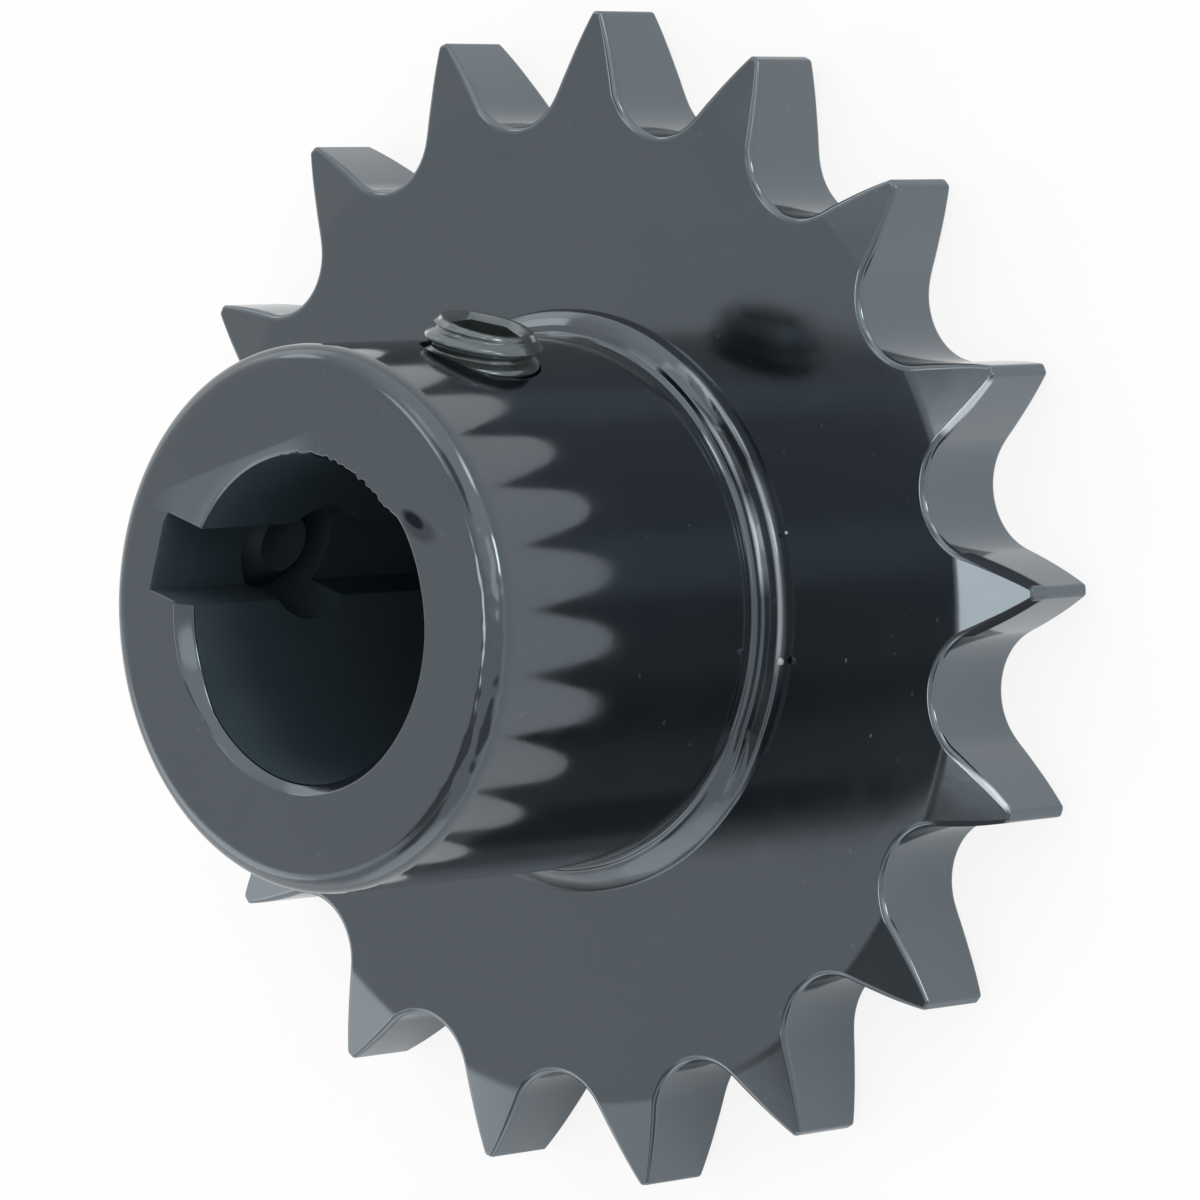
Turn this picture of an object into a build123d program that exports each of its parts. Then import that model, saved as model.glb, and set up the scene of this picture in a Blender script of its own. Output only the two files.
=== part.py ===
from build123d import *
import os
from math import atan2, cos, hypot, pi, radians, sin, sqrt

# Welded-hub chain sprocket. Lengths are in millimetres and angles in degrees.
# The bore axis is Z. The sprocket lies on the back face of its toothed plate, z = 0, and the
# hub rises from the plate. One set screw points along +X and the keyway opens towards +Y.

# Chain and teeth
teeth = 17
chain_pitch = 15.875
roller_diameter = 10.16
seat_clearance = 0.02
seat_angle = 121.0
flank_radius = 38.1
outside_diameter = 93.8
first_tooth_angle = 14.53

# Toothed plate
plate_thickness = 8.6
tooth_bevel_length = 6.7
tooth_bevel_width = 1.1
back_seam_chamfer = 0.5

# Hub
hub_diameter = 42.34
hub_length = 39.1
hub_edge_chamfer = 1.25
spigot_diameter = 38.0
bore_diameter = 25.4
bore_front_chamfer = 1.05
bore_back_chamfer = 0.8

# Keyway, cut along the whole bore
keyway_width = 6.35
keyway_floor_radius = 16.2

# Weld between hub and plate
weld_leg = 2.15
weld_crown = 0.2

# Set screws, 3/8 inch with 16 threads to the inch
thread_diameter = 9.525
thread_hole_clearance = 0.05
screw_setback = 13.95
screw_length = 9.525
screw_projection = 2.3
keyway_screw_length = 6.35
keyway_screw_gap = 0.3
socket_across_flats = 4.76
socket_share_of_length = 0.5
socket_turn = 11.0
screw_top_chamfer = 1.0
cup_rim_diameter = 4.8
cup_depth = 1.0

# Derived sizes
pitch_radius = chain_pitch / 2 / sin(pi / teeth)
seat_radius = roller_diameter / 2 + seat_clearance
outside_radius = outside_diameter / 2
hub_radius = hub_diameter / 2
spigot_radius = spigot_diameter / 2
bore_radius = bore_diameter / 2
thread_radius = thread_diameter / 2
screw_axis_height = hub_length - screw_setback
screw_turn = 0.0
keyway_turn = 90.0


def on_circle(centre, radius, angle):
    """The point of a circle at an angle in radians."""
    return (centre[0] + radius * cos(angle), centre[1] + radius * sin(angle))


def gap_outline():
    """One gap between teeth, as a face whose own axis is +X. A round roller seat runs
    tangent into a convex flank on each side, and the flanks run on past the tooth tips."""
    seat_centre = (pitch_radius, 0.0)
    seat_end_angle = pi - radians(seat_angle) / 2
    flank_centre = on_circle(seat_centre, seat_radius + flank_radius, seat_end_angle)
    reach = outside_radius * 1.04
    centre_distance = hypot(*flank_centre)
    along = (reach**2 - flank_radius**2 + centre_distance**2) / (2 * centre_distance)
    across = sqrt(reach**2 - along**2)
    direction = atan2(flank_centre[1], flank_centre[0]) - atan2(across, along)
    mouth = on_circle((0.0, 0.0), reach, direction)

    start_turn = seat_end_angle + pi
    end_turn = atan2(mouth[1] - flank_centre[1], mouth[0] - flank_centre[0]) % (2 * pi)
    middle_turn = (start_turn + end_turn) / 2
    seat_end = on_circle(seat_centre, seat_radius, seat_end_angle)
    flank_middle = on_circle(flank_centre, flank_radius, middle_turn)

    def mirrored(point):
        return (point[0], -point[1])

    seat = ThreePointArc(seat_end, (pitch_radius - seat_radius, 0.0), mirrored(seat_end))
    upper = ThreePointArc(seat_end, flank_middle, mouth)
    lower = ThreePointArc(mirrored(seat_end), mirrored(flank_middle), mirrored(mouth))
    closing = Line(mouth, mirrored(mouth))
    return make_face([seat, upper, closing, lower])


def make_toothed_plate():
    """A turned blank, bevelled on both sides towards its rim, with the tooth gaps cut in it."""
    bevel_start = outside_radius - tooth_bevel_length
    section = Polyline(
        (spigot_radius + back_seam_chamfer, 0.0),
        (bevel_start, 0.0),
        (outside_radius, tooth_bevel_width),
        (outside_radius, plate_thickness - tooth_bevel_width),
        (bevel_start, plate_thickness),
        (spigot_radius, plate_thickness),
        (spigot_radius, back_seam_chamfer),
        close=True,
    )
    blank = revolve(Plane.XZ * make_face(section), Axis.Z)
    gap = extrude(gap_outline(), plate_thickness)
    first_gap_angle = first_tooth_angle + 180.0 / teeth
    for i in range(teeth):
        turned = Rot(0, 0, first_gap_angle + 360.0 * i / teeth) * gap
        blank -= turned
    return blank


def make_hub():
    """A turned hub whose spigot passes through the plate and whose shoulder sits on it."""
    section = Polyline(
        (bore_radius + bore_back_chamfer, 0.0),
        (spigot_radius - back_seam_chamfer, 0.0),
        (spigot_radius, back_seam_chamfer),
        (spigot_radius, plate_thickness),
        (hub_radius, plate_thickness),
        (hub_radius, hub_length - hub_edge_chamfer),
        (hub_radius - hub_edge_chamfer, hub_length),
        (bore_radius + bore_front_chamfer, hub_length),
        (bore_radius, hub_length - bore_front_chamfer),
        (bore_radius, bore_back_chamfer),
        close=True,
    )
    hub = revolve(Plane.XZ * make_face(section), Axis.Z)
    keyway = Box(
        keyway_floor_radius,
        keyway_width,
        hub_length,
        align=(Align.MIN, Align.CENTER, Align.MIN),
    )
    hub -= Rot(0, 0, keyway_turn) * keyway
    hole = radial(
        Cylinder(
            thread_radius + thread_hole_clearance,
            hub_radius,
            align=(Align.CENTER, Align.CENTER, Align.MIN),
        ),
        0.0,
    )
    for turn in (screw_turn, keyway_turn):
        hub -= Rot(0, 0, turn) * hole
    return hub


def make_weld_bead():
    """A fillet weld round the foot of the hub, slightly crowned."""
    hub_toe = (hub_radius, plate_thickness + weld_leg)
    plate_toe = (hub_radius + weld_leg, plate_thickness)
    root = (hub_radius, plate_thickness)
    crown = (
        hub_radius + weld_leg / 2 + weld_crown / sqrt(2),
        plate_thickness + weld_leg / 2 + weld_crown / sqrt(2),
    )
    outline = [ThreePointArc(hub_toe, crown, plate_toe), Polyline(plate_toe, root, hub_toe)]
    return revolve(Plane.XZ * make_face(outline), Axis.Z)


def radial(shape, inner_radius):
    """Lays a shape that stands on z = 0 along +X at the height of the set screws."""
    return Pos(inner_radius, 0, screw_axis_height) * Rot(0, 90, 0) * shape


def make_set_screw(length):
    """A cup-point socket set screw that stands on its cup point."""
    cup_rim_radius = cup_rim_diameter / 2
    point_height = thread_radius - cup_rim_radius
    section = Polyline(
        (0.0, cup_depth),
        (cup_rim_radius, 0.0),
        (thread_radius, point_height),
        (thread_radius, length - screw_top_chamfer),
        (thread_radius - screw_top_chamfer, length),
        (0.0, length),
        close=True,
    )
    screw = revolve(Plane.XZ * make_face(section), Axis.Z)
    socket_depth = length * socket_share_of_length
    across_corners_radius = socket_across_flats / sqrt(3)
    socket = extrude(RegularPolygon(across_corners_radius, 6), socket_depth)
    return screw - Pos(0, 0, length - socket_depth) * Rot(0, 0, socket_turn) * socket


def make_parts():
    """Every piece of the sprocket by its name."""
    shaft_screw_inner = hub_radius + screw_projection - screw_length
    keyway_screw_inner = keyway_floor_radius + keyway_screw_gap
    shaft_screw = radial(make_set_screw(screw_length), shaft_screw_inner)
    keyway_screw = radial(make_set_screw(keyway_screw_length), keyway_screw_inner)
    return {
        "toothed_plate": make_toothed_plate(),
        "hub": make_hub(),
        "weld_bead": make_weld_bead(),
        "set_screw": Rot(0, 0, screw_turn) * shaft_screw,
        "keyway_set_screw": Rot(0, 0, keyway_turn) * keyway_screw,
    }


os.makedirs("parts", exist_ok=True)
for name, piece in make_parts().items():
    export_step(piece, f"parts/{name}.step")
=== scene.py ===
from math import acos, asin, atan2, ceil, cos, dist, pi, radians, sin, sqrt, tan

import bpy
import numpy as np
from mathutils import Matrix, Vector


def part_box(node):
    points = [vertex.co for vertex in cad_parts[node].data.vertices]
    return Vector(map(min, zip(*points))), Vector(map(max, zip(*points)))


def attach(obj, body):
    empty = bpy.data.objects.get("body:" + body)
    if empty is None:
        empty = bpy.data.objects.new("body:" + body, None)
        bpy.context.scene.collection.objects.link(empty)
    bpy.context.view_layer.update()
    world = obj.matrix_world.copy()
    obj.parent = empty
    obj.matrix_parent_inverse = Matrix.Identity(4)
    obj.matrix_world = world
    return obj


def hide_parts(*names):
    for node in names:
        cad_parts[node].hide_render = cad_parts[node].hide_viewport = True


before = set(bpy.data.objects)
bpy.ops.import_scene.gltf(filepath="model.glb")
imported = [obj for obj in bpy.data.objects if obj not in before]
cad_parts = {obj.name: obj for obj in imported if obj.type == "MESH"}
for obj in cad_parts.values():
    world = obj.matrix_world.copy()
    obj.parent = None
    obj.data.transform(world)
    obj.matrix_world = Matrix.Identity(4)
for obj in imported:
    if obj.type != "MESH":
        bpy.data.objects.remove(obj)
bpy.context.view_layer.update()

MM = 0.001
ROOT = "root"
SEED = 7

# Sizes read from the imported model, in millimetres.
_, hub_high = (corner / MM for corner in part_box("hub"))
_, plate_high = (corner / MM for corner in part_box("toothed_plate"))
screw_low, screw_high = (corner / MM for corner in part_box("set_screw"))
key_screw_low, key_screw_high = (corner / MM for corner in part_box("keyway_set_screw"))
HUB_RADIUS = hub_high.x
HUB_LENGTH = hub_high.z
PLATE_THICKNESS = plate_high.z
SCREW_HEIGHT = (screw_low.z + screw_high.z) / 2
THREAD_RADIUS = (screw_high.z - screw_low.z) / 2

# The part's other sizes, in millimetres, and angles in degrees.
TEETH = 17
CHAIN_PITCH = 15.875
SEAT_RADIUS = 5.10
SEAT_ANGLE = 121.0
FLANK_RADIUS = 38.1
OUTSIDE_RADIUS = 46.9
FIRST_TOOTH_ANGLE = 14.53
BEVEL_START = 40.2
BEVEL_WIDTH = 1.1
SPIGOT_RADIUS = 19.0
SEAM_CHAMFER = 0.5
BORE_RADIUS = 12.7
BORE_BACK_CHAMFER = 0.8
KEYWAY_WIDTH = 6.35
KEYWAY_FLOOR = 16.2
KEYWAY_TURN = 90.0
THREAD_PITCH = 25.4 / 16
HOLE_CLEARANCE = 0.05
SOCKET_FLATS = 4.76
SOCKET_TURN = 11.0
CUP_RIM_RADIUS = 2.4

# Paint-softened edges, in millimetres.
TOOTH_EDGE_ROUND = 0.5
TIP_EDGE_ROUND = 0.3
TIP_CORNER_ROUND = 0.4
BEVEL_BLEND = 0.5
MOUTH_ROUND = 0.28
MOUTH_ROUND_SHARE = 0.4


# -------- mesh helpers

# Points that agree to this many decimals of a millimetre become one.
MERGE_DIGITS = 4
LUMP_WAVES = 14
BEND_STEPS = 4
NIB_COLUMNS = 16
NIB_ROWS = 7
# The nib's foot goes on below the surface, by this turn in radians.
NIB_FOOT_TURN = -0.15
TINY = 1e-9


def merged(points, normals):
    """Points that coincide become one. Returns the kept points and normals, and the new index
    of each point."""
    keys = np.round(points, MERGE_DIGITS)
    _, first, inverse = np.unique(keys, axis=0, return_index=True, return_inverse=True)
    return points[first], normals[first], inverse.ravel()


class Surface:
    """Quads gathered from grids of points with known normals, in millimetres."""

    def __init__(self):
        self.points = []
        self.normals = []
        self.faces = []
        self.paints = []
        self.count = 0

    def grid(self, points, normals=(0, 0, 1.0), flip=False, paint=0):
        """Adds a grid of points, rows by columns, as quads in the object's paints, one for all
        or one for each quad."""
        points = np.asarray(points, float)
        normals = np.broadcast_to(np.asarray(normals, float), points.shape)
        rows, columns = points.shape[:2]
        index = np.arange(rows * columns).reshape(rows, columns) + self.count
        corners = [index[:-1, :-1], index[:-1, 1:], index[1:, 1:], index[1:, :-1]]
        quads = np.stack(corners, axis=-1).reshape(-1, 4)
        self.faces.append(quads[:, ::-1] if flip else quads)
        self.paints.append(np.broadcast_to(paint, (rows - 1, columns - 1)).ravel())
        self.points.append(points.reshape(-1, 3))
        self.normals.append(normals.reshape(-1, 3))
        self.count += rows * columns

    def build(self, name, materials, keep_normals=True):
        """Makes a Blender object of the gathered quads, with coincident points merged."""
        points, normals, inverse = merged(np.vstack(self.points), np.vstack(self.normals))
        faces, paints = [], []
        for quad, paint in zip(inverse[np.vstack(self.faces)], np.concatenate(self.paints)):
            corners = [int(v) for i, v in enumerate(quad) if v != quad[i - 1]]
            if len(set(corners)) >= 3:
                faces.append(corners)
                paints.append(int(paint))
        mesh = bpy.data.meshes.new(name)
        mesh.from_pydata((points * MM).tolist(), [], faces)
        for material in materials:
            mesh.materials.append(material)
        for polygon, paint in zip(mesh.polygons, paints):
            polygon.use_smooth = True
            polygon.material_index = paint
        mesh.validate()
        if keep_normals:
            mesh.normals_split_custom_set_from_vertices(normals.tolist())
        made = bpy.data.objects.new(name, mesh)
        bpy.context.scene.collection.objects.link(made)
        return made


def unit(vectors):
    """Vectors scaled to length 1."""
    vectors = np.asarray(vectors, float)
    return vectors / np.linalg.norm(vectors, axis=-1, keepdims=True)


def smooth_noise(angles, seed, waves):
    """A smooth random ripple round the circle, about -1 to 1."""
    random = np.random.default_rng(seed)
    total = np.zeros_like(angles)
    for wave in waves:
        total += random.normal() * np.sin(wave * angles + random.uniform(0, 2 * pi))
    return total / sqrt(len(waves))


def lumps(points, wavelength, seed):
    """A smooth random relief in space, about -1 to 1, with lumps half a wavelength across."""
    random = np.random.default_rng(seed)
    total = np.zeros(np.shape(points)[:-1])
    for _ in range(LUMP_WAVES):
        phase = points @ unit(random.normal(size=3)) * (2 * pi / wavelength)
        total += np.sin(phase + random.uniform(0, 2 * pi))
    return total / sqrt(LUMP_WAVES)


def rounded(corners, radii):
    """A path of radius and height whose inner corners are rounded."""
    corners = np.asarray(corners, float)
    path = [corners[0]]
    for i, radius in enumerate(radii, start=1):
        before, after = unit(corners[i - 1] - corners[i]), unit(corners[i + 1] - corners[i])
        half = acos(np.clip(before @ after, -1, 1)) / 2
        reach = radius / tan(half)
        for t in np.linspace(0, 1, BEND_STEPS + 1):
            bend = (1 - t) ** 2 * before + t**2 * after
            path.append(corners[i] + reach * bend)
    path.append(corners[-1])
    return np.array(path)


def curve_through(corners, steps):
    """A smooth path through points, as a Catmull-Rom curve."""
    corners = np.asarray(corners, float)
    before, after = 2 * corners[:1] - corners[1:2], 2 * corners[-1:] - corners[-2:-1]
    padded = np.concatenate([before, corners, after])
    path = []
    for i in range(1, len(padded) - 2):
        a, b, c, d = padded[i - 1 : i + 3]
        for t in np.arange(steps) / steps:
            path.append(
                b + (c - a) * t / 2 + (2 * a - 5 * b + 4 * c - d) * t**2 / 2
                + (3 * b - a - 3 * c + d) * t**3 / 2
            )
    path.append(corners[-1])
    return np.array(path)


def degrees_of(points):
    """Azimuth of points round the bore axis, from -180 to 180 degrees."""
    return np.degrees(np.arctan2(points[..., 1], points[..., 0]))


def add_nib(surface, spot, towards, radius, height, paint=0):
    """A small round nib in the paint, standing on a surface that faces a direction."""
    towards = unit(towards)
    across = unit(np.cross(towards, [0.3, 0.1, 0.9] if abs(towards[2]) < 0.8 else [1.0, 0, 0]))
    along = np.cross(towards, across)
    angles = np.linspace(0, 2 * pi, NIB_COLUMNS + 1)
    ring = np.cos(angles)[:, None] * across + np.sin(angles)[:, None] * along
    rows, normals = [], []
    for turn in np.linspace(NIB_FOOT_TURN, pi / 2, NIB_ROWS):
        out, up = cos(turn), sin(turn)
        rows.append(np.asarray(spot) + radius * out * ring + height * up * towards)
        normals.append(unit(ring * out * height + towards * up * radius + TINY))
    surface.grid(rows, normals, paint=paint)


def cos_sin(degrees):
    return cos(radians(degrees)), sin(radians(degrees))


def turned(points, degrees):
    """Points, or directions, turned about Z."""
    c, s = cos_sin(degrees)
    matrix = np.array([[c, -s, 0], [s, c, 0], [0, 0, 1.0]])
    return np.asarray(points) @ matrix.T


# -------- toothed plate

SEAT_STEPS = 14
FLANK_STEPS = 16
CORNER_STEPS = 5
TOOTH_COLUMNS = 12
ROUND_STEPS = 5
DISC_RADII = (SPIGOT_RADIUS, 20.5, 22.0, 24.0, 27.0, 30.0, 33.0, 35.5, 37.0)
BEVEL_SLOPE = BEVEL_WIDTH / (OUTSIDE_RADIUS - BEVEL_START)
# Over this length, from this radius on, the tooth's edge rounding narrows to that of its tip.
NARROWING_START = 43.0
NARROWING_LENGTH = 3.4
# Nibs in the plate's paint: place and radius. Their height is a share of the radius.
NIB_HEIGHT_SHARE = 0.5
PLATE_NIBS = ((5.16, -28.76, 0.16), (0.48, -32.83, 0.14), (-24.0, -21.5, 0.1), (29.5, 12.0, 0.1))


def tooth_side():
    """One side of a tooth in the plane, from the bottom of the gap to the tip land, with the
    tooth's centre line as +X. Returns points, outward normals and edge roundings."""
    pitch_radius = CHAIN_PITCH / 2 / sin(pi / TEETH)
    seat_centre = np.array([pitch_radius, 0.0])
    seat_end = pi - radians(SEAT_ANGLE) / 2

    def direction(angle):
        return np.stack([np.cos(angle), np.sin(angle)], axis=-1)

    flank_centre = seat_centre + (SEAT_RADIUS + FLANK_RADIUS) * direction(seat_end)
    corner_reach = OUTSIDE_RADIUS - TIP_CORNER_ROUND
    flank_reach = FLANK_RADIUS - TIP_CORNER_ROUND
    distance = np.linalg.norm(flank_centre)
    along = (corner_reach**2 - flank_reach**2 + distance**2) / (2 * distance)
    across = sqrt(corner_reach**2 - along**2)
    axis = flank_centre / distance
    corner_centre = along * axis + across * np.array([axis[1], -axis[0]])
    to_corner = corner_centre - flank_centre
    flank_end = atan2(to_corner[1], to_corner[0])
    land_start = atan2(corner_centre[1], corner_centre[0])
    flank_start = seat_end + pi

    seat_angles = np.linspace(pi, seat_end, SEAT_STEPS + 1)
    flank_angles = np.linspace(flank_start, flank_end % (2 * pi), FLANK_STEPS + 1)[1:]
    corner_angles = np.linspace(flank_end, land_start, CORNER_STEPS + 1)[1:]
    seat, flank, corner = direction(seat_angles), direction(flank_angles), direction(corner_angles)
    points = np.vstack(
        [
            seat_centre + SEAT_RADIUS * seat,
            flank_centre + FLANK_RADIUS * flank,
            corner_centre + TIP_CORNER_ROUND * corner,
        ]
    )
    normals = np.vstack([-seat, flank, corner])
    past = np.linalg.norm(points, axis=1) - NARROWING_START
    blend = np.clip(past / NARROWING_LENGTH, 0, 1)
    rounding = TOOTH_EDGE_ROUND + (TIP_EDGE_ROUND - TOOTH_EDGE_ROUND) * blend
    half_pitch = -180.0 / TEETH
    flat = np.zeros((len(points), 1))
    points = turned(np.hstack([points, flat]), half_pitch)
    normals = turned(np.hstack([normals, flat]), half_pitch)
    return points[:, :2], normals[:, :2], rounding


def face_height(radius):
    """Height and grade of the plate's front face, flat and then bevelled, with a soft crease."""
    past = np.asarray(radius, float) - BEVEL_START
    soft = np.where(
        np.abs(past) < BEVEL_BLEND,
        (past + BEVEL_BLEND) ** 2 / (4 * BEVEL_BLEND),
        np.maximum(past, 0),
    )
    grade = np.clip((past + BEVEL_BLEND) / (2 * BEVEL_BLEND), 0, 1) * BEVEL_SLOPE
    return PLATE_THICKNESS - BEVEL_SLOPE * soft, grade


def face_normals(x, y):
    radius = np.hypot(x, y)
    grade = face_height(radius)[1]
    return unit(np.stack([grade * x / radius, grade * y / radius, np.ones_like(x)], axis=-1))


def tooth_row(radius, half_angle):
    """Places across one tooth on a circle, as x and y, with the tooth's centre line as +X."""
    angles = np.linspace(-half_angle, half_angle, TOOTH_COLUMNS + 1)
    return radius * np.cos(angles), radius * np.sin(angles)


def make_plate(materials):
    """The toothed plate: one tooth and its share of the disc, repeated round the bore axis and
    mirrored to the back."""
    side, side_normals, rounding = tooth_side()
    land_half = atan2(-side[-1][1], side[-1][0])
    land = np.stack(tooth_row(OUTSIDE_RADIUS, land_half), axis=-1)[1:-1]
    outline = np.vstack([side, land, side[::-1] * [1, -1]])
    outward = np.vstack([side_normals, unit(land), side_normals[::-1] * [1, -1]])
    rounds = np.concatenate([rounding, np.full(len(land), TIP_EDGE_ROUND), rounding[::-1]])

    # the rounded rim, from the flat or bevelled face down to the wall
    inset = outline - outward * rounds[:, None]
    top = face_height(np.hypot(inset[:, 0], inset[:, 1]))[0]
    face_up = face_normals(inset[:, 0], inset[:, 1])
    wall_out = np.hstack([outward, np.zeros((len(outline), 1))])
    turns = np.linspace(pi / 2, 0, ROUND_STEPS + 1)
    rim, rim_normals = [], []
    for turn in turns:
        place = outline - outward * (rounds * (1 - cos(turn)))[:, None]
        height = top - rounds * (1 - sin(turn))
        rim.append(np.column_stack([place, height]))
        rim_normals.append(unit(cos(turn) * wall_out + sin(turn) * face_up))
    rim, rim_normals = np.array(rim), np.array(rim_normals)

    # the face of one tooth and its share of the disc, row by row
    rows, row_normals = [], []
    for radius in DISC_RADII:
        x, y = tooth_row(radius, pi / TEETH)
        rows.append(np.column_stack([x, y, np.full_like(x, PLATE_THICKNESS)]))
        row_normals.append(face_normals(x, y))
    for place in inset[: len(side)]:
        x, y = tooth_row(np.hypot(*place), atan2(-place[1], place[0]))
        rows.append(np.column_stack([x, y, face_height(np.hypot(x, y))[0]]))
        row_normals.append(face_normals(x, y))
    rows, row_normals = np.array(rows), np.array(row_normals)

    middle = PLATE_THICKNESS / 2
    wall_rows = np.array([rim[-1], rim[-1] * [1, 1, 0] + [0, 0, middle]])
    wall_normals = np.array([wall_out, wall_out])
    hole_top = rows[0]
    hole_edge = np.array([hole_top, hole_top * [1, 1, 0] + [0, 0, middle]])
    hole_out = -unit(hole_top * [1, 1, 0])

    plate = Surface()
    flip = np.array([1.0, 1.0, -1.0])
    for i in range(TEETH):
        angle = FIRST_TOOTH_ANGLE + 360.0 * i / TEETH
        for grid, normals, inward, paint in (
            (rows, row_normals, False, 0),
            (rim, rim_normals, False, 1),
            (wall_rows, wall_normals, False, 1),
            (hole_edge, np.array([hole_out, hole_out]), True, 0),
        ):
            front = turned(grid, angle)
            plate.grid(front, turned(normals, angle), flip=not inward, paint=paint)
            back = front * flip + [0, 0, PLATE_THICKNESS]
            plate.grid(back, turned(normals * flip, angle), flip=inward, paint=paint)
    for x, y, radius in PLATE_NIBS:
        height = radius * NIB_HEIGHT_SHARE
        add_nib(plate, (x, y, PLATE_THICKNESS), (0, 0, 1.0), radius, height)
    return plate.build("plate_painted", materials)


# -------- hub

ARC_COLUMNS = 600
SIDE_COLUMNS = 6
FLOOR_COLUMNS = 24
FACE_ROWS = 22
WALL_HEIGHTS = (8.0, 16.0, 24.0, 31.0, 36.0)
SIDE_HEIGHTS = (31.0, 18.0)
MOUTH_DEPTH = 1.6
HUB_SHARP_ANGLE = 32.0
# Faces on the hub's round walls and level face, by how well they face straight out or up, and
# by how near the wall they are.
ROUND_COSINE = 0.9985
LEVEL_COSINE = 0.999995
WALL_MARGIN = 0.03
# The screw hole cutters' first and last distance from the bore axis, and radius at their ends.
HOLE_START = 4.0
HOLE_END = 30.0
HOLE_COLUMNS = 72
HOLE_CENTRE = 1e-6

# Half of the keyway's angle at the bore.
KEYWAY_HALF_ANGLE = 14.5
# Size of the bore mouth's chamfer by azimuth. It is worn away or burred from the keyway to a
# little past the set screw, and nearly full elsewhere.
MOUTH_CHAMFERS = {
    -150: 0.85, -100: 0.8, -60: 0.8, -40: 0.85, -35: 0.8, -31: 0.45, -27: 0.26, 10: 0.28,
    40: 0.24, 60: 0.14, 76: 0.1, 104: 1.05, 130: 1.05, 146: 0.7, 172: 0.75,
}
LEAST_CHAMFER = 0.06
MOUTH_WANDER = 0.02
KEYWAY_EDGE = 0.12
# The burrs: the azimuth round which they lie and their height.
BURR_AZIMUTH = -8
BURR_HEIGHT = 0.13
# The hub's outer edge, softened by paint: how far in from its side and how far down from its face.
HUB_EDGE = (
    (2.25, 0.0), (1.85, 0.005), (1.5, 0.035), (1.15, 0.13), (0.78, 0.34),
    (0.44, 0.64), (0.2, 0.97), (0.06, 1.35), (0.0, 1.85),
)
# Unevenness of the paint on that edge: height and size of its lumps where it is rough, and all
# round. It is rough within a span of azimuth.
ROUGH_AZIMUTH = -85
ROUGH_HALF_SPAN = 34
ROUGH_LUMPS = (0.028, 1.5)
EDGE_LUMPS = (0.012, 7.0)
# A shallow ground facet beside the keyway, behind a straight line across the hub's face: the
# line's direction and distance, the facet's slope and reach, and the span of azimuth it is in.
FACET_AZIMUTH = 33.7
FACET_DISTANCE = 13.57
FACET_SLOPE = 0.03
FACET_REACH = 2.4
FACET_MIDDLE = 45
FACET_HALF_SPAN = 38


def bore_ring(arc_offset, arc_height, key_offset, key_height):
    """The bore's outline with its keyway, moved outwards: the round wall, a side, the floor
    and the other side. The round wall's offset and height may vary along it."""
    arc_offset = np.broadcast_to(np.asarray(arc_offset, float), ARC_COLUMNS + 1)
    arc_height = np.broadcast_to(np.asarray(arc_height, float), ARC_COLUMNS + 1)
    half = KEYWAY_WIDTH / 2 + key_offset
    keyway = radians(KEYWAY_TURN)
    start = asin(half / (BORE_RADIUS + arc_offset[0]))
    end = asin(half / (BORE_RADIUS + arc_offset[-1]))
    angles = np.linspace(keyway + start, keyway - end + 2 * pi, ARC_COLUMNS + 1)
    radius = BORE_RADIUS + arc_offset
    arc = np.column_stack([radius * np.cos(angles), radius * np.sin(angles), arc_height])
    floor_at = KEYWAY_FLOOR + key_offset
    shares = np.arange(1, SIDE_COLUMNS + 1)[:, None] / SIDE_COLUMNS
    corner = np.array([half, floor_at, key_height])
    first = np.array([half, arc[-1, 1], key_height])
    rising = first + (corner - first) * shares
    along = np.linspace(half, -half, FLOOR_COLUMNS + 1)[1:]
    floor = np.column_stack([along, np.full((FLOOR_COLUMNS, 2), (floor_at, key_height))])
    last = np.array([-half, arc[0, 1], key_height])
    falling = floor[-1] + (last - floor[-1]) * shares
    falling[-1] = arc[0]
    return np.vstack([arc, rising, floor, falling])


def outer_ring(radius, height):
    """A circle with its points spaced to face those of the bore's ring."""
    start = asin(KEYWAY_WIDTH / 2 / BORE_RADIUS)
    keyway = radians(KEYWAY_TURN)
    arc = np.linspace(keyway + start, keyway - start + 2 * pi, ARC_COLUMNS + 1)
    steps = 2 * SIDE_COLUMNS + FLOOR_COLUMNS
    rest = np.linspace(arc[-1], arc[0] + 2 * pi, steps + 1)[1:]
    angles = np.concatenate([arc, rest])
    x, y = radius * np.cos(angles), radius * np.sin(angles)
    return np.column_stack([x, y, np.full_like(x, height)])


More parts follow.
